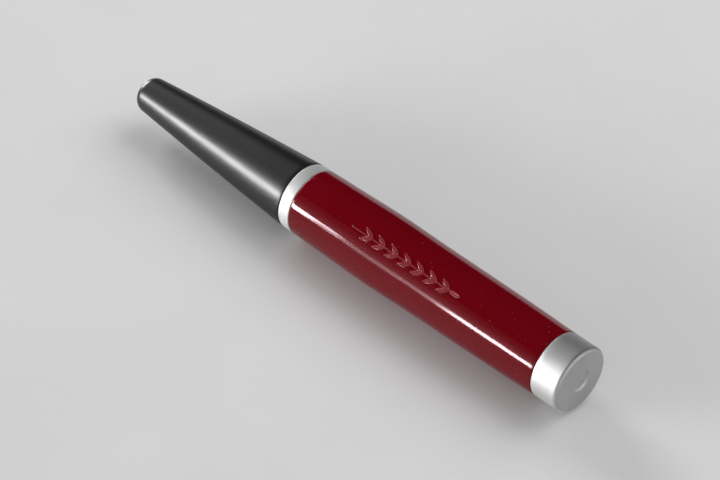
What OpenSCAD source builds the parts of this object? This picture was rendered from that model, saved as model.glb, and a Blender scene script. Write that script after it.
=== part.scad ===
// Cake tester: a stainless probe in a barrel handle, under a tapered push-on cover.
// The tool's axis lies along X, with the cover's tip at -X and the end cap at +X.
// The handle's belly touches z = 0, and the origin is below the middle of the length.

/* [Lengths] */
// Cover, from its mouth to its tip
cover_l = 75; // [60:0.5:90]
// Collar ring between the cover and the handle
collar_l = 4.7; // [4:0.1:7]
// Coloured handle shell
handle_l = 105; // [90:1:130]
// End cap
cap_l = 10.5; // [10:0.1:13]

/* [Outside diameters] */
// Handle at its belly, the widest point of the tool
belly_d = 25; // [24.6:0.1:27]
// Handle at its front edge, next to the collar
front_d = 23.9; // [23.6:0.1:24.4]
// Handle at its rear edge, next to the end cap
rear_d = 22.9; // [22.6:0.1:23.4]
// Collar ring
collar_d = 23.7; // [23:0.1:24.2]
// Cover at its mouth
mouth_d = 23.7; // [23:0.1:24.2]
// Cover where the rounding of its tip starts
neck_d = 12.7; // [12:0.1:15]
// End cap band
band_d = 22.8; // [22.4:0.1:23.2]

/* [Cover] */
// Wall of the cover
cover_wall = 1.6; // [1.2:0.1:1.8]
// How far the cover's side bows out from a straight cone
cover_bow = 0.2; // [0:0.05:0.5]
// Gap between the cover's mouth and the collar
cover_gap = 0.2; // [0.1:0.05:0.5]
// Length of the inner sleeve that runs on the spigot
liner_l = 13; // [12:0.5:16]

/* [Spigot and probe] */
// Diameter of the spigot that the cover is pushed onto
spigot_d = 18; // [17:0.1:18.2]
// Length of the spigot in front of the collar
spigot_l = 11; // [9:0.5:12]
// Radial clearance between the spigot and the cover's sleeve
slip = 0.08; // [0.05:0.01:0.1]
// Diameter of the probe
probe_d = 2.2; // [1.6:0.1:3]
// Length of the probe's tapered point
point_l = 14; // [8:1:25]

/* [Handle] */
// Bore of the handle shell
bore_d = 18.4; // [17.8:0.1:18.8]
// Number of ribs on the handle's core
rib_count = 6; // [4:1:8]
// Raised height of the wheat-ear motif
motif_h = 0.3; // [0.2:0.05:0.5]
// Number of grain pairs in the motif
grain_pairs = 7; // [5:1:7]

/* [Hidden] */
$fn = 96;

total_l = cover_l + collar_l + handle_l + cap_l;
axis_z = belly_d / 2;
x_tip = -total_l / 2;            // closed end of the cover
x_mouth = x_tip + cover_l;       // front face of the collar
x_front = x_mouth + collar_l;    // front edge of the handle shell
x_rear = x_front + handle_l;     // rear edge of the handle shell
x_end = x_rear + cap_l;          // flat face of the end cap

neck_r = (front_d - 7.3) / 2;    // nose piece where it carries the collar
shank_r = neck_r - 0.7;          // nose piece inside the handle's core
shank_l = 24;
lip_l = 2.2;                     // inward lip at the front of the shell
gasket_t = 0.8;
pin_r = 0.8;
x_pin = x_front + 14;            // cross pin through the probe's tang
x_nose = x_mouth - spigot_l;     // front face of the spigot
ferrule_r = 2.6;
ferrule_l = 8;
groove_x = x_mouth - 6;          // O-ring groove
groove_w = 1.7;
oring_t = 1.44;
screw_r = 1.9;
screw_floor = x_rear + 2.4;      // seat of the screw's washer in the end plug
clip_x = x_rear + 4.2;
clip_w = 0.9;
boss_r = 10.3;                   // end plug inside the end cap
cap_wall = 0.95;

// Handle radius by stations: [fraction from the rear edge to the front edge, radius].
belly_station = 4;
handle_stations = [
    [0, rear_d / 2],
    [0.12, rear_d / 2 + 0.34],
    [0.32, rear_d / 2 + 0.58],
    [0.52, rear_d / 2 + 0.76],
    [0.70, belly_d / 2],
    [0.86, (belly_d * 0.45 + front_d * 0.55) / 2],
    [1, front_d / 2]
];

// Slope at station i of a curve given as [position, value] stations; flat at the belly.
function slope(s, i) =
    i == belly_station ? 0
    : i == 0 ? (s[1][1] - s[0][1]) / (s[1][0] - s[0][0])
    : i == len(s) - 1 ? (s[i][1] - s[i - 1][1]) / (s[i][0] - s[i - 1][0])
    : (s[i + 1][1] - s[i - 1][1]) / (s[i + 1][0] - s[i - 1][0]);
// Smooth value at position p, on the cubic between stations i and i + 1.
function cubic(s, i, p) =
    let (w = s[i + 1][0] - s[i][0], t = (p - s[i][0]) / w, t2 = t * t, t3 = t2 * t)
    (2 * t3 - 3 * t2 + 1) * s[i][1] + (t3 - 2 * t2 + t) * w * slope(s, i)
    + (3 * t2 - 2 * t3) * s[i + 1][1] + (t3 - t2) * w * slope(s, i + 1);
function spline(s, p, i = 0) = (p <= s[i + 1][0] || i == len(s) - 2) ? cubic(s, i, p) : spline(s, p, i + 1);
// Handle radius at a place x along the tool.
function handle_r(x) = spline(handle_stations, (x_rear - x) / handle_l);

// Points of an arc about [cx, cr]; angle 0 points away from the axis and 90 towards +X.
function arc(cx, cr, rad, a0, a1, n) = [for (i = [0:n]) let (a = a0 + (a1 - a0) * i / n)
    [cx + rad * sin(a), cr + rad * cos(a)]];

// Solid of revolution about the tool's axis, from an outline of [x, radius] points.
module lathe(outline) {
    translate([0, 0, axis_z])
        rotate([0, 90, 0])
            rotate_extrude()
                polygon([for (p = outline) [p[1], p[0]]]);
}

// Round bar or hole on the tool's axis, between two places along it.
module rod(x0, x1, r) {
    translate([x0, 0, axis_z])
        rotate([0, 90, 0])
            cylinder(h = x1 - x0, r = r);
}

module tube(x0, x1, r_out, r_in) {
    difference() {
        rod(x0, x1, r_out);
        rod(x0 - 1, x1 + 1, r_in);
    }
}

// Tapered cover: a bowed cone with a rounded shoulder and a small flat at the tip.
module cover_shell() {
    x_m = x_mouth - cover_gap;
    lead = 0.3;
    tip_l = 2.8;                                 // from the end of the side to the flat end
    shoulder_r = 3.3;
    edge_r = 0.7;
    turn = 48;                                   // where the shoulder meets the edge rounding
    side_l = cover_l - cover_gap - tip_l;
    taper = atan((mouth_d - neck_d) / 2 / side_l);
    x_s = x_m - side_l;
    // the shoulder and the edge, turning from the cone's slope to the flat end
    c1 = [x_s + shoulder_r * sin(taper), neck_d / 2 - shoulder_r * cos(taper)];
    c2 = [c1[0] - (shoulder_r - edge_r) * sin(turn), c1[1] + (shoulder_r - edge_r) * cos(turn)];
    tip_x = c2[0] - edge_r;
    // stretch that brings the flat end to x_tip exactly
    fit = (x_tip - x_s) / (tip_x - x_s);
    side = [for (i = [0:16]) let (t = i / 16)
        [x_m - lead + (x_s - x_m + lead) * t,
         (mouth_d * (1 - t) + neck_d * t) / 2 + 4 * cover_bow * t * (1 - t)]];
    tip = [for (p = concat(arc(c1[0], c1[1], shoulder_r, -taper, -turn, 8),
                           arc(c2[0], c2[1], edge_r, -turn, -90, 5)))
        [x_s + (p[0] - x_s) * fit, p[1]]];
    seat_r = mouth_d / 2 - cover_wall;
    seat_x = x_m - liner_l - 0.6;
    cavity = [[x_m + 1, seat_r], [seat_x, seat_r], [seat_x, seat_r - 1],
              [x_s + 0.6, neck_d / 2 - cover_wall], [x_tip + 2.6, neck_d / 2 - cover_wall - 1.2],
              [x_tip + 2.2, neck_d / 2 - cover_wall - 2.2], [x_tip + 2.2, 0], [x_m + 1, 0]];
    color("#1c1c1e")
        difference() {
            lathe(concat([[x_m, 0], [x_m, mouth_d / 2 - lead]], side, [for (i = [1:len(tip) - 1]) tip[i]],
                         [[x_tip, 0]]));
            lathe(cavity);
        }
}

// Plain sleeve inside the cover's mouth, which slides on the spigot.
module cover_liner() {
    x_m = x_mouth - cover_gap - 0.6;
    r_in = spigot_d / 2 + slip;
    color("#e8e6de")
        lathe([[x_m, r_in + 0.5], [x_m - 0.5, r_in], [x_m - liner_l, r_in],
               [x_m - liner_l, mouth_d / 2 - cover_wall], [x_m, mouth_d / 2 - cover_wall]]);
}

// O-ring that holds the cover by friction.
module grip_ring() {
    ring_r = spigot_d / 2 + 0.03 - oring_t / 2;
    color("#2b2b2b")
        translate([groove_x, 0, axis_z])
            rotate([0, 90, 0])
                rotate_extrude()
                    translate([ring_r, 0])
                        circle(r = oring_t / 2, $fn = 32);
}

// Moulded nose: the spigot in front, a neck through the collar, and a shank in the core.
module nose_piece() {
    r = spigot_d / 2;
    floor_r = r + 0.03 - oring_t;
    x_shank = x_front + lip_l;
    outline = [[x_nose, 0], [x_nose, r - 1.2], [x_nose + 0.35, r - 0.35], [x_nose + 1.2, r],
               [groove_x - groove_w / 2, r], [groove_x - groove_w / 2, floor_r],
               [groove_x + groove_w / 2, floor_r], [groove_x + groove_w / 2, r],
               [x_mouth, r], [x_mouth, neck_r], [x_shank, neck_r], [x_shank, shank_r],
               [x_front + shank_l, shank_r], [x_front + shank_l, 0]];
    color("#3a3a3c")
        difference() {
            lathe(outline);
            rod(x_nose - 1, x_nose + ferrule_l, ferrule_r);
            rod(x_nose - 1, x_front + 6.5, probe_d / 2);
            tang_space();
            translate([x_pin, 0, 0])
                cylinder(h = 2 * axis_z, r = pin_r);
        }
}

// Block taken up by the flat tang at the rear of the probe.
module tang_space() {
    translate([x_front + 6, -2.5, axis_z - 0.7])
        cube([14, 5, 1.4]);
}

// Stainless bush that the probe comes out of.
module probe_ferrule() {
    color("silver")
        lathe([[x_nose - 1.6, probe_d / 2], [x_nose - 1.6, probe_d / 2 + 0.7], [x_nose - 0.5, ferrule_r + 1.2],
               [x_nose, ferrule_r + 1.2], [x_nose, ferrule_r], [x_nose + ferrule_l, ferrule_r],
               [x_nose + ferrule_l, probe_d / 2]]);
}

// Round probe with a long tapered point and a flat, drilled tang.
module probe() {
    x_point = x_tip + 4.5;
    r = probe_d / 2;
    blunt = 0.3;
    color("silver")
        difference() {
            union() {
                lathe(concat([[x_point, 0]], arc(x_point + blunt, 0, blunt, -75, -5, 4),
                             [[x_point + point_l, r], [x_front + 6.5, r], [x_front + 6.5, 0]]));
                tang_space();
            }
            translate([x_pin, 0, 0])
                cylinder(h = 2 * axis_z, r = pin_r);
        }
}

// Cross pin through the nose piece and the tang.
module probe_pin() {
    color("gray")
        translate([x_pin, 0, axis_z - shank_r + 0.2])
            cylinder(h = 2 * shank_r - 0.4, r = pin_r);
}

// Bright collar with rounded edges.
module collar_ring() {
    r = collar_d / 2;
    edge = 0.4;
    color("#c9cac8")
        lathe(concat([[x_mouth, neck_r]], arc(x_mouth + edge, r - edge, edge, -90, 0, 4),
                     arc(x_front - edge, r - edge, edge, 0, 90, 4), [[x_front, neck_r]]));
}

// Rubber ring in the front face of the shell, pressed by the collar.
module front_gasket() {
    color("#2b2b2b")
        tube(x_front, x_front + gasket_t, neck_r + 2.2, neck_r);
}

// Wheat ear, raised from the shell in place of lettering. It looks up and to -Y.
module motif() {
    pitch = 5.5;
    x_mid = x_rear - 57;
    x_foot = x_mid - (grain_pairs * pitch) / 2;
    lean = 34;                                   // turn from straight up towards -Y
    for (i = [0:grain_pairs - 1])
        let (x = x_foot + pitch * (i + 0.5)) {
            for (side = [-1, 1])
                raised(x, lean + side * 5.2)
                    rotate([0, 0, -side * 24])
                        grain_plan(5, 1.5);
            raised(x + 0.3, lean)
                square([pitch - 0.1, 0.5], center = true);
        }
    raised(x_foot + pitch * grain_pairs + 1.6, lean)
        grain_plan(5, 1.6);
    raised(x_foot - 2.2, lean)
        square([4, 0.6], center = true);
}

// Stands a flat plan on the handle's surface at x, turned about the axis from straight up.
module raised(x, turn) {
    sunk = 0.8;
    translate([x, 0, axis_z])
        rotate([turn, 0, 0])
            translate([0, 0, handle_r(x) - sunk])
                linear_extrude(sunk + motif_h)
                    children();
}

// Lens-shaped plan of a grain, from two arcs.
module grain_plan(l, w) {
    r = (l * l / 4 + w * w / 4) / w;
    half = asin(l / 2 / r);
    upper = [for (a = [-half:half / 4:half + 0.01]) [r * sin(a), r * cos(a) - r + w / 2]];
    polygon(concat(upper, [for (i = [len(upper) - 2:-1:1]) [upper[i][0], -upper[i][1]]]));
}

// Glossy barrel shell with the raised motif.
module handle_shell() {
    edge = 0.45;
    steps = 40;
    barrel = [for (i = [0:steps]) let (x = x_front + edge + (handle_l - 2 * edge) * i / steps) [x, handle_r(x)]];
    outline = concat([[x_front, 0], [x_front, front_d / 2 - edge]], barrel,
                     [[x_rear, rear_d / 2 - edge], [x_rear, 0]]);
    color("#7d0f1e")
        difference() {
            union() {
                lathe(outline);
                motif();
            }
            rod(x_front - 1, x_front + gasket_t, neck_r + 2.2);
            rod(x_front - 1, x_front + lip_l + 1, neck_r);
            rod(x_front + lip_l, x_rear + 1, bore_d / 2);
        }
}

// Ribbed core that fills the shell: a socket for the nose, a ribbed tube, and a screw boss.
module handle_core() {
    r = bore_d / 2;
    x0 = x_front + lip_l;
    x_socket = x_front + shank_l + 0.4;
    x_back = x_rear - 10;
    rib_t = 1.4;
    tube_r = 5.4;
    color("#55565a")
        difference() {
            union() {
                rod(x0, x_socket + 2, r);
                rod(x_socket, x_back, tube_r);
                rod(x_back - 3, x_back, r);
                for (i = [0:rib_count - 1])
                    translate([x_socket, 0, axis_z])
                        rotate([i * 360 / rib_count, 0, 0])
                            translate([0, -rib_t / 2, tube_r - 1])
                                cube([x_back - x_socket, rib_t, r - 0.3 - tube_r + 1]);
            }
            rod(x0 - 1, x_socket, shank_r);
            rod(x_socket - 1, x_back - 14, tube_r - 1.6);
            rod(x_socket, x_back + 1, screw_r);
        }
}

// Rubber ring under the end plug's flange.
module rear_gasket() {
    color("#2b2b2b")
        tube(x_rear, x_rear + 0.6, boss_r, bore_d / 2);
}

// Plug in the rear of the shell, which carries the end cap.
module end_plug() {
    r = bore_d / 2;
    x_face = x_rear + 7;
    color("#3a3a3c")
        difference() {
            union() {
                rod(x_rear - 10, x_rear + 1, r);
                rod(x_rear + 0.6, x_face, boss_r);
            }
            rod(x_rear - 11, x_face + 1, screw_r + 0.2);
            rod(screw_floor, x_face + 1, 5.2);
            tube(clip_x - 0.1, clip_x + clip_w + 0.1, boss_r + 1, 9.6);
            // moulding pockets between the hub and the skirt
            for (i = [0:5])
                translate([x_rear - 11, 0, axis_z])
                    rotate([30 + i * 60, 0, 0])
                        translate([0, 0, 6])
                            rotate([0, 90, 0])
                                cylinder(h = 9, r = 1.7);
        }
}

module screw_washer() {
    color("silver")
        tube(screw_floor, screw_floor + 0.8, 4.6, screw_r + 0.2);
}

// Pan-head screw with a cross recess, which ties the plug to the core.
module plug_screw() {
    x_head = screw_floor + 0.8;
    head_r = 3.7;
    head_h = 2.5;
    color("silver")
        difference() {
            lathe(concat([[x_rear - 22, 0], [x_rear - 20, screw_r], [x_head, screw_r], [x_head, head_r]],
                         arc(x_head + head_h - 1.2, head_r - 1.2, 1.2, 0, 90, 4), [[x_head + head_h, 0]]));
            for (turn = [0, 90])
                translate([x_head + head_h - 1.3, 0, axis_z])
                    rotate([turn, 0, 0])
                        translate([0, -2.2, -0.45])
                            cube([3, 4.4, 0.9]);
        }
}

// Open spring ring that snaps the end cap onto the plug.
module cap_clip() {
    color("gray")
        difference() {
            tube(clip_x, clip_x + clip_w, 10.65, 9.75);
            translate([clip_x - 1, -1.8, axis_z + 8])
                cube([clip_w + 2, 3.6, 4]);
        }
}

// Pressed steel cap: straight band, rounded rim, flat face with a shallow round dimple.
module end_cap() {
    r = band_d / 2;
    lead = 0.3;
    rim = 1.35;
    dimple_r = 3.95;
    dimple_h = 0.6;
    inner_r = r - cap_wall;
    x_floor = x_end - cap_wall - 0.3;
    color("#b9bab8")
        difference() {
            lathe(concat([[x_rear, 0], [x_rear, r - lead], [x_rear + lead, r]],
                         arc(x_end - rim, r - rim, rim, 0, 90, 8),
                         [[x_end, dimple_r], [x_end - dimple_h, dimple_r - dimple_h], [x_end - dimple_h, 0]]));
            lathe([[x_rear - 1, 0], [x_rear - 1, inner_r], [x_floor - 0.6, inner_r], [x_floor, inner_r - 0.6],
                   [x_floor, dimple_r + 0.8], [x_floor - dimple_h, dimple_r], [x_floor - dimple_h, 0]]);
            tube(clip_x - 0.1, clip_x + clip_w + 0.1, 10.75, inner_r - 0.1);
        }
}

cover_shell();
cover_liner();
grip_ring();
nose_piece();
probe_ferrule();
probe();
probe_pin();
collar_ring();
front_gasket();
handle_shell();
handle_core();
rear_gasket();
end_plug();
screw_washer();
plug_screw();
cap_clip();
end_cap();
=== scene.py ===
"""A cake tester lying on a pale table: barrel handle, collar, end cap, and a tapered cover over its probe.

The tool lies along X, with the cover's tip at -X. All sizes are in metres.
"""

from math import atan, atan2, cos, degrees, hypot, pi, radians, sin, sqrt, tan

import bmesh
import bpy
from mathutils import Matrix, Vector


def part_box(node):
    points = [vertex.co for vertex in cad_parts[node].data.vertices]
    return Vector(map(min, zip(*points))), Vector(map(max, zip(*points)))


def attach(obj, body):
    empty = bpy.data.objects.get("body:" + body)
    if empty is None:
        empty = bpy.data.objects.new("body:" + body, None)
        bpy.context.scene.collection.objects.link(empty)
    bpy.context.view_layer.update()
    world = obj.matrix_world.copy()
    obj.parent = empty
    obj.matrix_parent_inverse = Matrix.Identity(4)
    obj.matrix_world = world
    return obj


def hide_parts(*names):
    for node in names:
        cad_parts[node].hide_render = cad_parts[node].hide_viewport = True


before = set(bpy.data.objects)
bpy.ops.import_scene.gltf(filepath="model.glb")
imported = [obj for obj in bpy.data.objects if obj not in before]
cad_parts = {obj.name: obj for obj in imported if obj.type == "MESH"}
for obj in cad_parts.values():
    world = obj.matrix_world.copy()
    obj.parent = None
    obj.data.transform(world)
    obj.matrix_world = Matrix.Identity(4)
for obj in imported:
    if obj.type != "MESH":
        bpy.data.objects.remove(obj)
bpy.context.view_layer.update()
MM = 0.001
TINY = 1e-9                      # lengths and angles below this count as nothing
ROUND_STEPS = 128                # flats round the tool, where a piece doesn't say otherwise


# ---------------------------------------------------------------- places taken from the frame

def span(node):
    """First and last place of a CAD node along the tool's axis, and its outer radius."""
    low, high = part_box(node)
    return low.x, high.x, (high.z - low.z) / 2


COVER_TIP, COVER_MOUTH, MOUTH_R = span("cover_shell")
COLLAR_X0, COLLAR_X1, COLLAR_R = span("collar_ring")
SHELL_X0, SHELL_X1, BELLY_R = span("handle_shell")
CAP_X0, CAP_X1, CAP_R = span("end_cap")
NOSE_X0, NOSE_X1, SPIGOT_R = span("nose_piece")
LINER_X0, LINER_X1, LINER_R = span("cover_liner")
RING_X0, RING_X1, RING_R = span("grip_ring")
FERRULE_X0, FERRULE_X1, FERRULE_R = span("probe_ferrule")
PROBE_X0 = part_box("probe")[0].x
PROBE_R = 1.1 * MM               # of its round part
AXIS_Z = (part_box("end_cap")[0].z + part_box("end_cap")[1].z) / 2
SHELL_L = SHELL_X1 - SHELL_X0


# ---------------------------------------------------------------- outlines and meshes

def arc(cx, cr, rad, a0, a1, steps):
    """Points of an arc in [x, radius]; angle 0 points away from the axis and 90 towards +X."""
    turns = [radians(a0 + (a1 - a0) * i / steps) for i in range(steps + 1)]
    return [(cx + rad * sin(a), cr + rad * cos(a)) for a in turns]


def line(a, b, steps):
    """Points from a to b, without a itself."""
    return [(a[0] + (b[0] - a[0]) * i / steps, a[1] + (b[1] - a[1]) * i / steps) for i in range(1, steps + 1)]


def even_turns(count):
    """Angles evenly spaced round the axis."""
    return [2 * pi * i / count for i in range(count)]


def lathe(name, outline, turns=None, relief=None, sharp=32):
    """A mesh of revolution about the tool's axis.

    The outline is a list of (x, radius). If both of its ends are on the axis it is closed by poles there,
    and otherwise it is a closed ring. Turn 0 points straight up, and positive turns go towards -Y.
    relief(x, turn, radius) is added to the radius. Edges sharper than `sharp` degrees stay crisp.
    """
    turns = turns or even_turns(ROUND_STEPS)
    bm = bmesh.new()
    poles = outline[0][1] < TINY and outline[-1][1] < TINY
    rings = []
    for x, r in outline:
        if r < TINY:
            rings.append([bm.verts.new((x, 0, AXIS_Z))])
            continue
        ring = []
        for turn in turns:
            radius = r + (relief(x, turn, r) if relief else 0)
            ring.append(bm.verts.new((x, -radius * sin(turn), AXIS_Z + radius * cos(turn))))
        rings.append(ring)
    pairs = list(zip(rings, rings[1:]))
    if not poles:
        pairs.append((rings[-1], rings[0]))
    count = len(turns)
    for low, high in pairs:
        for i in range(count):
            j = (i + 1) % count
            corners = [low[i % len(low)], low[j % len(low)], high[j % len(high)], high[i % len(high)]]
            unique = list(dict.fromkeys(corners))
            if len(unique) > 2:
                bm.faces.new(unique)
    bmesh.ops.recalc_face_normals(bm, faces=bm.faces)
    for face in bm.faces:
        face.smooth = True
    for edge in bm.edges:
        if len(edge.link_faces) == 2 and edge.calc_face_angle() > radians(sharp):
            edge.smooth = False
    mesh = bpy.data.meshes.new(name)
    bm.to_mesh(mesh)
    bm.free()
    piece = bpy.data.objects.new(name, mesh)
    bpy.context.scene.collection.objects.link(piece)
    return piece


def place(piece, body, slot, material, *nodes):
    """Gives a piece its material and its CAD body, and hides the CAD nodes that it stands for. slot is not
    used.
    """
    piece.data.materials.clear()
    piece.data.materials.append(material)
    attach(piece, body)
    if nodes:
        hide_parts(*nodes)
    return piece


# ---------------------------------------------------------------- materials

class Surface:
    """A Principled material with short helpers for its procedural detail."""

    def __init__(self, name, colour, roughness, metallic=0.0, **sockets):
        self.material = bpy.data.materials.new(name)
        self.material.use_nodes = True
        self.tree = self.material.node_tree
        self.shader = self.tree.nodes["Principled BSDF"]
        self.shader.inputs["Base Color"].default_value = (*colour, 1)
        self.shader.inputs["Roughness"].default_value = roughness
        self.shader.inputs["Metallic"].default_value = metallic
        for socket, value in sockets.items():
            self.shader.inputs[socket.replace("_", " ")].default_value = value
        self.place = self.node("ShaderNodeTexCoord").outputs["Object"]
        self.bump_out = None

    def node(self, kind, **settings):
        made = self.tree.nodes.new(kind)
        for key, value in settings.items():
            setattr(made, key, value)
        return made

    def link(self, source, target):
        self.tree.links.new(source, target)

    def stretched(self, scale):
        """Object coordinates scaled by (x, y, z)."""
        mapping = self.node("ShaderNodeMapping")
        mapping.inputs["Scale"].default_value = scale
        self.link(self.place, mapping.inputs["Vector"])
        return mapping.outputs["Vector"]

    def noise(self, scale, detail=3.0, rough=0.5, where=None):
        """Noise of the given scale, in waves per metre, over the object's or the given coordinates."""
        made = self.node("ShaderNodeTexNoise")
        made.inputs["Scale"].default_value = scale
        made.inputs["Detail"].default_value = detail
        made.inputs["Roughness"].default_value = rough
        self.link(where or self.place, made.inputs["Vector"])
        return made.outputs["Fac"]

    def attribute(self, name):
        """A number stored at the mesh's points."""
        return self.node("ShaderNodeAttribute", attribute_name=name).outputs["Fac"]

    def remap(self, value, from_min, from_max, to_min, to_max):
        made = self.node("ShaderNodeMapRange")
        limits = {"From Min": from_min, "From Max": from_max, "To Min": to_min, "To Max": to_max}
        for key, number in limits.items():
            made.inputs[key].default_value = number
        self.link(value, made.inputs["Value"])
        return made.outputs["Result"]

    def math(self, operation, a, b):
        made = self.node("ShaderNodeMath", operation=operation)
        for socket, value in zip(made.inputs, (a, b)):
            if isinstance(value, (int, float)):
                socket.default_value = value
            else:
                self.link(value, socket)
        return made.outputs["Value"]

    def mix(self, factor, a, b):
        """Colour a where factor is 0 and colour b where it is 1."""
        made = self.node("ShaderNodeMix", data_type="RGBA")
        self.link(factor, made.inputs[0])
        for socket, value in ((made.inputs[6], a), (made.inputs[7], b)):
            if isinstance(value, tuple):
                socket.default_value = (*value, 1)
            else:
                self.link(value, socket)
        return made.outputs[2]

    def colour(self, source):
        self.link(source, self.shader.inputs["Base Color"])

    def roughness(self, source):
        self.link(source, self.shader.inputs["Roughness"])

    def bump(self, height, distance, strength=1.0):
        """Adds a bump of the given height in metres; several bumps add up."""
        made = self.node("ShaderNodeBump")
        made.inputs["Distance"].default_value = distance
        made.inputs["Strength"].default_value = strength
        self.link(height, made.inputs["Height"])
        if self.bump_out:
            self.link(self.bump_out, made.inputs["Normal"])
        self.bump_out = made.outputs["Normal"]
        self.link(self.bump_out, self.shader.inputs["Normal"])


def glossy_red():
    """High-gloss moulded plastic: deep red with ripple, dust and smears; raised marks are paler and rougher.
    """
    deep, red = (0.125, 0.001, 0.004), (0.15, 0.002, 0.007)
    paler, dusty = (0.235, 0.024, 0.029), (0.42, 0.16, 0.18)
    s = Surface("glossy_red", red, 0.06, Specular_IOR_Level=0.26, Specular_Tint=(1, 0.8, 0.84, 1))
    body = s.mix(s.noise(60, 2), deep, red)
    # the raised marks are made paler in colour, the more so the higher up the motif a point lies
    lighter = s.remap(s.attribute("raised"), 0.25, 0.8, 0.0, 0.75)
    body = s.mix(lighter, body, paler)
    dust = s.remap(s.noise(900, 1.5, 0.4), 0.75, 0.77, 0.0, 0.25)
    s.colour(s.mix(dust, body, dusty))
    smear = s.remap(s.noise(25, 4, 0.6, s.stretched((0.5, 1.6, 1.6))), 0.4, 0.75, 0.08, 0.13)
    dust_and_mark_roughness = s.math("ADD", s.math("MULTIPLY", dust, 0.5), s.math("MULTIPLY", lighter, 0.3))
    s.roughness(s.math("ADD", smear, dust_and_mark_roughness))
    s.bump(s.noise(150, 1), 2e-6)
    return s.material


def satin_black():
    """Fine-grained satin plastic with rubbed patches."""
    black, deep, lighter = (0.005, 0.005, 0.0053), (0.003, 0.003, 0.0032), (0.006, 0.006, 0.0063)
    s = Surface("satin_black", black, 0.34, Specular_IOR_Level=0.42)
    rub = s.noise(45, 4, 0.6)
    s.colour(s.mix(rub, deep, lighter))
    s.roughness(s.remap(rub, 0.3, 0.7, 0.34, 0.40))
    s.bump(s.noise(5200, 2), 3e-6)
    s.bump(s.noise(700, 2), 2e-6)
    return s.material


def brushed(name, colour, roughness, grain, anisotropy=0.55, depth=2.5e-6, metallic=1.0):
    """Steel brushed round the tool's axis, with lines that are finer along the axis for a larger grain.

    metallic below 1 stands for the milky part of a satin-plated finish, which scatters light all ways.
    """
    s = Surface(name, colour, roughness, metallic, Anisotropic=anisotropy)
    tangent = s.node("ShaderNodeTangent", direction_type="RADIAL", axis="X")
    s.link(tangent.outputs["Tangent"], s.shader.inputs["Tangent"])
    lines = s.noise(420, 4, 0.65, s.stretched((grain, 0.5, 0.5)))
    stain = s.noise(90, 3)
    dark = tuple(0.9 * c for c in colour)
    s.colour(s.mix(s.math("MULTIPLY", lines, stain), colour, dark))
    s.roughness(s.remap(lines, 0.25, 0.75, roughness - 0.05, roughness + 0.06))
    s.bump(lines, depth)
    s.bump(s.noise(3800, 2), 1e-6)
    return s.material


def moulded(name, colour, roughness, grain=2400):
    """Plain moulded plastic or rubber with a fine grain."""
    s = Surface(name, colour, roughness)
    cloud = s.noise(120, 3)
    s.colour(s.mix(cloud, tuple(0.85 * c for c in colour), tuple(1.12 * c for c in colour)))
    s.roughness(s.remap(cloud, 0.3, 0.7, roughness - 0.06, roughness + 0.08))
    s.bump(s.noise(grain, 3), 4e-6)
    return s.material


RED = glossy_red()
BLACK = satin_black()
COLLAR = brushed("collar_steel", (0.48, 0.48, 0.475), 0.58, 9, 0.3, metallic=0.45)
CAP = brushed("cap_steel", (0.48, 0.48, 0.475), 0.56, 7, 0.3, metallic=0.85)
PROBE = brushed("probe_steel", (0.74, 0.74, 0.73), 0.16, 0.4, 0.2, 1.2e-6)
BUSH = brushed("bush_steel", (0.66, 0.66, 0.65), 0.22, 5)
ZINC = brushed("zinc_steel", (0.55, 0.56, 0.58), 0.32, 3, 0.1)
NOSE = moulded("nose_plastic", (0.035, 0.035, 0.037), 0.42)
CORE = moulded("core_plastic", (0.15, 0.155, 0.165), 0.5)
LINER = moulded("liner_plastic", (0.74, 0.73, 0.68), 0.4)
RUBBER = moulded("seal_rubber", (0.018, 0.018, 0.018), 0.62, 3600)


# ---------------------------------------------------------------- cover

def cover():
    """Tapered cover: a bowed cone, a rounded shoulder, a small flat at the tip, and the hollow inside."""
    lead, bow, wall = 0.3 * MM, 0.2 * MM, 1.6 * MM
    neck_r, tip_l = 6.35 * MM, 2.8 * MM
    # the tip is an arc for the shoulder, as far round as turn, and then a small one for the edge of the flat
    shoulder_r, edge_r, turn = 3.3 * MM, 0.7 * MM, 48
    x_s = COVER_TIP + tip_l
    side_l = COVER_MOUTH - x_s
    taper = degrees(atan((MOUTH_R - neck_r) / side_l))
    c1 = (x_s + shoulder_r * sin(radians(taper)), neck_r - shoulder_r * cos(radians(taper)))
    c2 = (c1[0] - (shoulder_r - edge_r) * sin(radians(turn)),
          c1[1] + (shoulder_r - edge_r) * cos(radians(turn)))
    side = []
    side_steps = 48
    for i in range(side_steps + 1):
        t = i / side_steps
        x = COVER_MOUTH - lead - (side_l - lead) * t
        side.append((x, MOUTH_R * (1 - t) + neck_r * t + 4 * bow * t * (1 - t)))
    tip = arc(*c1, shoulder_r, -taper, -turn, 16)[1:] + arc(*c2, edge_r, -turn, -90, 10)[1:]
    # the two arcs are stretched along the axis so that they end at the tip
    fit = (COVER_TIP - x_s) / (c2[0] - edge_r - x_s)
    tip = [(x_s + (x - x_s) * fit, r) for x, r in tip]
    # the hollow has a small flat end, a tapered wall, and a straight seat for the sleeve
    end_x, end_r = COVER_TIP + 2.2 * MM, 2.65 * MM
    seat_r, seat_x, seat_step, ease = MOUTH_R - wall, COVER_MOUTH - 13.6 * MM, 1 * MM, 0.25 * MM
    cavity = [(end_x, 0), (end_x, end_r), (COVER_TIP + 2.6 * MM, 3.65 * MM), (x_s + 0.6 * MM, neck_r - wall)]
    cavity += line(cavity[-1], (seat_x, seat_r - seat_step), 12)
    cavity += [(seat_x, seat_r), (COVER_MOUTH - ease, seat_r), (COVER_MOUTH, seat_r + ease)]
    mouth = arc(COVER_MOUTH - lead, MOUTH_R - lead, lead, 90, 0, 5)
    outline = cavity + mouth + side[1:] + tip + [(COVER_TIP, 0)]
    place(lathe("cover_body", outline), "cover", "cover_black", BLACK, "cover_shell")


# ---------------------------------------------------------------- handle

BELLY_STATION = 4
REAR_R, FRONT_R = 11.45 * MM, 11.95 * MM
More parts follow.
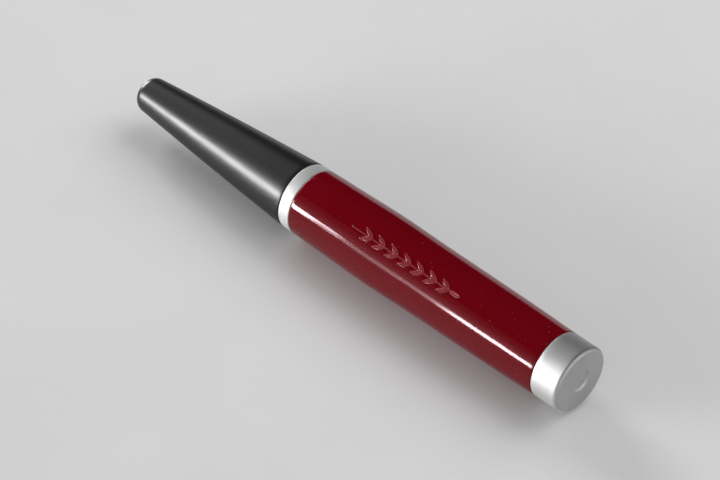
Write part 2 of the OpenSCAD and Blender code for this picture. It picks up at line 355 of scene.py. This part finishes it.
# share of the handle's length from its rear end, and the radius there
STATIONS = [(0, REAR_R), (0.12, REAR_R + 0.34 * MM), (0.32, REAR_R + 0.58 * MM), (0.52, REAR_R + 0.76 * MM),
            (0.70, BELLY_R), (0.86, BELLY_R * 0.45 + FRONT_R * 0.55), (1, FRONT_R)]


def slope(i):
    """Slope of the handle's curve at a station; the belly is level."""
    if i == BELLY_STATION:
        return 0
    low, high = STATIONS[max(i - 1, 0)], STATIONS[min(i + 1, len(STATIONS) - 1)]
    return (high[1] - low[1]) / (high[0] - low[0])


def handle_r(x):
    """Radius of the handle at a place along the tool: a smooth curve through the stations."""
    p = (SHELL_X1 - x) / SHELL_L
    i = 0
    while i < len(STATIONS) - 2 and p > STATIONS[i + 1][0]:
        i += 1
    (p0, r0), (p1, r1) = STATIONS[i], STATIONS[i + 1]
    w = p1 - p0
    t = (p - p0) / w
    return ((2 * t**3 - 3 * t**2 + 1) * r0 + (t**3 - 2 * t**2 + t) * w * slope(i)
            + (3 * t**2 - 2 * t**3) * r1 + (t**3 - t**2) * w * slope(i + 1))


LEAN = radians(34)               # the motif's turn from straight up towards -Y
PAIRS, PITCH = 7, 5.5 * MM       # the wheat ear's pairs of grains
EAR_MID = SHELL_X1 - 57 * MM
EAR_X0 = EAR_MID - PAIRS * PITCH / 2
EAR_X1 = EAR_X0 + PITCH * PAIRS
EAR_H = 0.3 * MM


def grains():
    """Places of the wheat ear's grains: (x, offset round the handle, slant, length, width)."""
    offset, slant, length, width = 1.12 * MM, radians(24), 5 * MM, 1.5 * MM
    top_x, top_width = EAR_X1 + 1.6 * MM, 1.6 * MM
    made = []
    for i in range(PAIRS):
        for side in (-1, 1):
            made.append((EAR_X0 + PITCH * (i + 0.5), side * offset, -side * slant, length, width))
    made.append((top_x, 0, 0, length, top_width))
    return made


GRAINS = grains()


def step_up(d, edge):
    """0 outside, 1 inside, and a smooth rise where the depth d is within the edge's width."""
    t = min(max(d / edge + 0.5, 0), 1)
    return t * t * (3 - 2 * t)


def ear_relief(x, turn, radius):
    """Height of the raised wheat ear at a point of the handle."""
    edge = 0.22 * MM
    crown_drop, crease_drop, crease_w, crease_edge = 0.35, 0.3, 0.10 * MM, 0.16 * MM
    stem_h, stem_w, stem_tail = 0.75, 0.26 * MM, 4.2 * MM
    across = radius * ((turn - LEAN + pi) % (2 * pi) - pi)
    if abs(across) > 4 * MM or radius < 0.9 * BELLY_R:
        return 0
    top = 0
    for gx, offset, slant, length, width in GRAINS:
        dx, dy = x - gx, across - offset
        if hypot(dx, dy) > 0.6 * length:
            continue
        along = dx * cos(slant) + dy * sin(slant)
        side = abs(-dx * sin(slant) + dy * cos(slant))
        bend = (length**2 / 4 + width**2 / 4) / width
        half = sqrt(max(bend**2 - along**2, 0)) - bend + width / 2
        crown = 1 - crown_drop * (side / (width / 2)) ** 2
        crease = 1 - crease_drop * step_up(crease_w - side, crease_edge)
        top = max(top, step_up(half - side, edge) * crown * crease)
    ends = min(x - (EAR_X0 - stem_tail), EAR_X1 - x)
    top = max(top, stem_h * step_up(min(stem_w - abs(across), ends), edge))
    return EAR_H * top


def fine_between(low, high, fine_low, fine_high, coarse, fine):
    """Places from low to high, closely spaced between fine_low and fine_high."""
    places = [low]
    while places[-1] < high - TINY:
        here = places[-1]
        step = fine if fine_low <= here < fine_high else coarse
        nxt = here + step
        if here < fine_low < nxt:
            nxt = fine_low
        places.append(min(nxt, high))
    # a last step that came out very short is joined to the one before it
    if places[-1] - places[-2] < 0.3 * coarse and places[-2] > fine_high:
        del places[-2]
    return places


def handle():
    """Glossy barrel shell with the raised ear, rounded ends, and its bore."""
    edge, bore_r, lip_r, recess_r = 0.45 * MM, 9.2 * MM, 8.3 * MM, 10.5 * MM
    lip_x0, lip_x1 = SHELL_X0 + 0.8 * MM, SHELL_X0 + 2.2 * MM
    margin, coarse_x, fine_x = 5 * MM, 1.4 * MM, 0.15 * MM
    reach, coarse_turn, fine_turn = radians(17), radians(2.5), radians(0.65)
    xs = fine_between(SHELL_X0 + edge, SHELL_X1 - edge, EAR_X0 - margin, EAR_X1 + margin, coarse_x, fine_x)
    skin = [(x, handle_r(x)) for x in xs]
    front = arc(SHELL_X0 + edge, skin[0][1] - edge, edge, -90, 0, 6)
    rear = arc(SHELL_X1 - edge, skin[-1][1] - edge, edge, 0, 90, 6)
    inside = [(SHELL_X1, bore_r), (lip_x1, bore_r), (lip_x1, lip_r),
              (lip_x0, lip_r), (lip_x0, recess_r), (SHELL_X0, recess_r)]
    turns = fine_between(LEAN - pi, LEAN + pi, LEAN - reach, LEAN + reach, coarse_turn, fine_turn)[:-1]
    outline = front[:-1] + skin + rear[1:] + inside
    piece = lathe("handle_barrel", outline, turns, ear_relief)
    # how far up the motif each point lies, from 0 to 1, for the red material
    raised = piece.data.attributes.new("raised", "FLOAT", "POINT")
    for vertex, mark in zip(piece.data.vertices, raised.data):
        x, y, z = vertex.co
        mark.value = ear_relief(x, atan2(-y, z - AXIS_Z), hypot(y, z - AXIS_Z)) / EAR_H
    place(piece, "handle", "handle_red", RED, "handle_shell")


# ---------------------------------------------------------------- metal collar and end cap

def collar():
    """Plain ring with two rounded edges."""
    edge, bore = 0.4 * MM, 8.3 * MM
    front = arc(COLLAR_X0 + edge, COLLAR_R - edge, edge, -90, 0, 8)
    rear = arc(COLLAR_X1 - edge, COLLAR_R - edge, edge, 0, 90, 8)
    piece = lathe("collar_band", [(COLLAR_X0, bore)] + front + rear + [(COLLAR_X1, bore)])
    place(piece, "handle", "collar_satin", COLLAR, "collar_ring")


def end_cap():
    """Pressed cap: straight band, rounded rim, flat face and shallow round dimple."""
    lead, rim, wall = 0.3 * MM, 1.35 * MM, 0.95 * MM
    dimple_r, dimple_h, soft = 3.95 * MM, 0.6 * MM, 0.16 * MM
    inner = CAP_R - wall
    floor = CAP_X1 - wall - 0.3 * MM
    corner, dimple_rim = 0.6 * MM, 0.8 * MM
    outline = [(CAP_X0, inner), (CAP_X0, CAP_R - lead)]
    outline += arc(CAP_X0 + lead, CAP_R - lead, lead, -90, 0, 5)[1:]
    outline += line(outline[-1], (CAP_X1 - rim, CAP_R), 8)
    outline += arc(CAP_X1 - rim, CAP_R - rim, rim, 0, 90, 14)[1:]
    outline += line(outline[-1], (CAP_X1, dimple_r + soft), 6)
    outline += arc(CAP_X1 - soft, dimple_r + soft, soft, 90, 135, 4)[1:]
    low = arc(CAP_X1 - dimple_h + soft, dimple_r - dimple_h, soft, -45, -90, 4)
    outline += low + [(CAP_X1 - dimple_h, 0), (floor - dimple_h, 0), (floor - dimple_h, dimple_r),
                      (floor, dimple_r + dimple_rim), (floor, inner - corner), (floor - corner, inner)]
    # the outline meets the axis in its middle, so it is turned round to start and end there
    at = next(i for i, p in enumerate(outline) if p[1] == 0)
    ring = outline[at + 1:] + outline[:at + 1]
    piece = lathe("end_cap_body", ring)
    place(piece, "handle", "cap_satin", CAP, "end_cap")


# ---------------------------------------------------------------- pieces under the cover

def spigot():
    """The nose piece: the spigot with its O-ring groove, the neck and the shank."""
    r, edge = SPIGOT_R, 1.2 * MM
    ring_proud, ring_w, groove = 0.03 * MM, 1.44 * MM, 0.85 * MM
    groove_r = SPIGOT_R + ring_proud - ring_w
    mid, x_neck = (RING_X0 + RING_X1) / 2, COLLAR_X0
    neck_r, shank_r, bore, rear_bore = 8.3 * MM, 7.6 * MM, 2.6 * MM, 2.5 * MM
    x_shank = SHELL_X0 + 2.2 * MM
    outline = [(NOSE_X0, bore)] + line((NOSE_X0, bore), (NOSE_X0, r - edge), 3)
    outline += arc(NOSE_X0 + edge, r - edge, edge, -90, 0, 8)[1:]
    outline += [(mid - groove, r), (mid - groove, groove_r), (mid + groove, groove_r), (mid + groove, r),
                (x_neck, r), (x_neck, neck_r), (x_shank, neck_r), (x_shank, shank_r), (NOSE_X1, shank_r),
                (NOSE_X1, rear_bore), (FERRULE_X1, rear_bore), (FERRULE_X1, bore)]
    place(lathe("spigot", outline), "handle", "nose_grey", NOSE, "nose_piece")


def seal():
    """O-ring in the spigot's groove."""
    half = (RING_X1 - RING_X0) / 2
    outline = arc((RING_X0 + RING_X1) / 2, RING_R - half, half, 0, 360, 20)[:-1]
    place(lathe("grip_seal", outline, sharp=60), "handle", "seal_rubber", RUBBER, "grip_ring")


def ferrule():
    """Turned bush with a rounded collar that the probe comes out of."""
    x_face, flange, r = FERRULE_X0 + 1.6 * MM, FERRULE_R, 2.6 * MM
    lip, edge = 0.45 * MM, 0.25 * MM
    outline = [(FERRULE_X0, PROBE_R), (FERRULE_X0, PROBE_R + lip)]
    outline += arc(FERRULE_X0 + edge, PROBE_R + lip, edge, -90, -20, 4)
    outline += line(outline[-1], (x_face - 0.75 * MM, flange - 0.15 * MM), 4)
    outline += [(x_face - 0.5 * MM, flange), (x_face, flange), (x_face, r)]
    outline += [(FERRULE_X1, r), (FERRULE_X1, PROBE_R)]
    place(lathe("probe_bush", outline, even_turns(64)), "handle", "fastener_steel", BUSH, "probe_ferrule")


def probe():
    """Round probe with a long tapered point; its flat tang is inside the nose piece."""
    blunt, point = 0.3 * MM, 14 * MM
    end = NOSE_X1 - 17.5 * MM
    outline = [(PROBE_X0, 0)] + arc(PROBE_X0 + blunt, 0, blunt, -85, -5, 7)
    outline += line(outline[-1], (PROBE_X0 + point, PROBE_R), 12)
    outline += line(outline[-1], (end, PROBE_R), 16) + [(end, 0)]
    rod = lathe("probe_rod", outline, even_turns(48))
    tang = tang_plate()
    place(rod, "handle", "probe_steel", PROBE, "probe")
    place(tang, "handle", "probe_steel", PROBE)


def tang_plate():
    """Flat, rounded tang with the hole for its cross pin."""
    low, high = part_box("probe")
    length, half_t, corner = 14 * MM, 0.7 * MM, 0.8 * MM
    x0, x1, half_w = high.x - length, high.x, (high.y - low.y) / 2
    pin_low, pin_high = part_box("probe_pin")
    pin = Vector(((pin_low.x + pin_high.x) / 2, 0))
    pin_r = (pin_high.x - pin_low.x) / 2
    rim = []
    for cx, cy, a0 in ((x1 - corner, half_w - corner, 0), (x0 + corner, half_w - corner, 90),
                       (x0 + corner, corner - half_w, 180), (x1 - corner, corner - half_w, 270)):
        for a in range(a0, a0 + 91, 15):
            rim.append((cx + corner * cos(radians(a)), cy + corner * sin(radians(a))))
    count = len(rim)
    bm = bmesh.new()
    loops = []
    for z in (AXIS_Z - half_t, AXIS_Z + half_t):
        outer = [bm.verts.new((x, y, z)) for x, y in rim]
        hole = []
        for x, y in rim:
            turn = atan2(y - pin.y, x - pin.x)
            hole.append(bm.verts.new((pin.x + pin_r * cos(turn), pin.y + pin_r * sin(turn), z)))
        loops.append((outer, hole))
    for i in range(count):
        j = (i + 1) % count
        (bottom, hole_0), (top, hole_1) = loops
        bm.faces.new((bottom[i], bottom[j], top[j], top[i]))
        bm.faces.new((hole_0[j], hole_0[i], hole_1[i], hole_1[j]))
        bm.faces.new((bottom[j], bottom[i], hole_0[i], hole_0[j]))
        bm.faces.new((top[i], top[j], hole_1[j], hole_1[i]))
    bmesh.ops.recalc_face_normals(bm, faces=bm.faces)
    mesh = bpy.data.meshes.new("probe_tang")
    bm.to_mesh(mesh)
    bm.free()
    piece = bpy.data.objects.new("probe_tang", mesh)
    bpy.context.scene.collection.objects.link(piece)
    return piece


def liner():
    """Sleeve in the cover's mouth, with an eased lead-in."""
    slack, ease = 0.08 * MM, 0.5 * MM
    bore = SPIGOT_R + slack
    outline = arc(LINER_X1 - ease, bore + ease, ease, 180, 90, 6)
    outline += [(LINER_X1, LINER_R), (LINER_X0, LINER_R), (LINER_X0, bore)]
    place(lathe("cover_sleeve", outline), "cover", "liner_natural", LINER, "cover_liner")


# ---------------------------------------------------------------- CAD pieces that stay as they are

def dress_cad_nodes():
    """Procedural materials for the sealed pieces inside the handle."""
    kept = {"handle_core": CORE, "end_plug": NOSE, "front_gasket": RUBBER, "rear_gasket": RUBBER,
            "probe_pin": ZINC, "screw_washer": ZINC, "plug_screw": ZINC, "cap_clip": ZINC}
    for node, material in kept.items():
        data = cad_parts[node].data
        data.materials.clear()
        data.materials.append(material)


# ---------------------------------------------------------------- stage, lights and camera

def aim(thing, target):
    """Turns a lamp or camera so that it looks at the target."""
    direction = Vector(target) - thing.location
    thing.rotation_euler = direction.to_track_quat("-Z", "Y").to_euler()


def towards(azimuth, elevation):
    """Unit vector to a compass direction: azimuth 0 is +X and 90 is +Y."""
    a, e = radians(azimuth), radians(elevation)
    return Vector((cos(a) * cos(e), sin(a) * cos(e), sin(e)))


def softbox(name, seen_by, azimuth, elevation, wide, high, radiance, distance=3.0, x=0.0):
    """A soft rectangular lamp that faces the tool, wide x high degrees as seen from x on the tool's axis.

    radiance is what a camera would see of it, but it is hidden from the camera. seen_by is diffuse for a
    lamp that only lights, or glossy for a reflection card, which shows in shiny surfaces and lights nothing.
    """
    width, height = (2 * distance * tan(radians(a) / 2) for a in (wide, high))
    data = bpy.data.lights.new(name, "AREA")
    data.shape = "RECTANGLE"
    data.size = width
    data.size_y = height
    data.energy = radiance * pi * width * height
    lamp = bpy.data.objects.new(name, data)
    bpy.context.scene.collection.objects.link(lamp)
    target = Vector((x, 0, AXIS_Z))
    lamp.location = target + towards(azimuth, elevation) * distance
    aim(lamp, target)
    lamp.visible_camera = False
    lamp.visible_diffuse = seen_by == "diffuse"
    lamp.visible_glossy = seen_by == "glossy"


def stage():
    """A plain pale table that fills the view. It mirrors nothing, so the lamps don't show in it."""
    table_size = 8
    base, dark, light = (0.68, 0.68, 0.69), (0.66, 0.66, 0.665), (0.76, 0.76, 0.765)
    bpy.ops.mesh.primitive_plane_add(size=table_size)
    table = bpy.context.object
    table.name = "table"
    s = Surface("pale_table", base, 0.8, Specular_IOR_Level=0.0)
    s.colour(s.mix(s.noise(9, 5, 0.6), dark, light))
    table.data.materials.append(s.material)


def lights():
    """Even light from all round, cards for the reflections, and soft lamps for the table's shadows."""
    world = bpy.data.worlds.new("studio")
    bpy.context.scene.world = world
    world.use_nodes = True
    background = world.node_tree.nodes["Background"]
    background.inputs["Color"].default_value = (1, 1, 1, 1)
    background.inputs["Strength"].default_value = 0.33
    world.cycles_visibility.glossy = False
    # two windows at the left and the frame between them; x is the stretch of the tool that mirrors each
    softbox("window_front", "glossy", -133.4, 6.5, 20, 11, radiance=60, distance=0.6, x=-7 * MM)
    softbox("window_rear", "glossy", -112.1, 5, 11, 8, radiance=60, distance=0.6, x=53 * MM)
    softbox("window_frame", "glossy", -121, 6.5, 14, 9, radiance=5.5, distance=1.5, x=20 * MM)
    # the wall over them: three cards on the same foot, so that it grows darker upwards
    wall_foot = 11
    for name, high, radiance in (("wall_low", 9, 0.5), ("wall_middle", 17, 0.35), ("wall_high", 28, 0.25)):
        softbox(name, "glossy", -130, wall_foot + high / 2, 56, high, radiance)
    # the other walls, and a window beyond the cover's tip
    softbox("wall_back", "glossy", 118, 1.5, 40, 3, radiance=0.8)
    softbox("window_back", "glossy", 169, 9, 26, 18, radiance=21)
    softbox("wall_front", "glossy", 178, 35, 56, 26, radiance=0.85)
    softbox("wall_right", "glossy", 5, 22, 90, 36, radiance=1.8)
    # what lights the table and gives the soft shadows
    softbox("window_fill", "diffuse", -128, 9, 30, 14, radiance=20)
    softbox("light_back", "diffuse", 165, 22, 26, 20, radiance=10)
    softbox("light_above", "diffuse", 70, 48, 44, 40, radiance=2.3)


def camera():
    """The photograph's viewing angle, through a long lens."""
    azimuth, elevation, distance = radians(44.5), radians(42.93), 0.9215
    target = Vector((0.0262, -0.0235, 0.0404))
    data = bpy.data.cameras.new("camera")
    data.lens = 150
    data.sensor_width = 36
    view = bpy.data.objects.new("camera", data)
    bpy.context.scene.collection.objects.link(view)
    bpy.context.scene.camera = view
    back = Vector((sin(azimuth) * cos(elevation), -cos(azimuth) * cos(elevation), sin(elevation)))
    view.location = target + back * distance
    view.rotation_euler = (-back).to_track_quat("-Z", "Y").to_euler()


cover()
handle()
collar()
end_cap()
spigot()
seal()
ferrule()
probe()
liner()
dress_cad_nodes()
stage()
lights()
camera()
bpy.context.scene.view_settings.view_transform = "Standard"
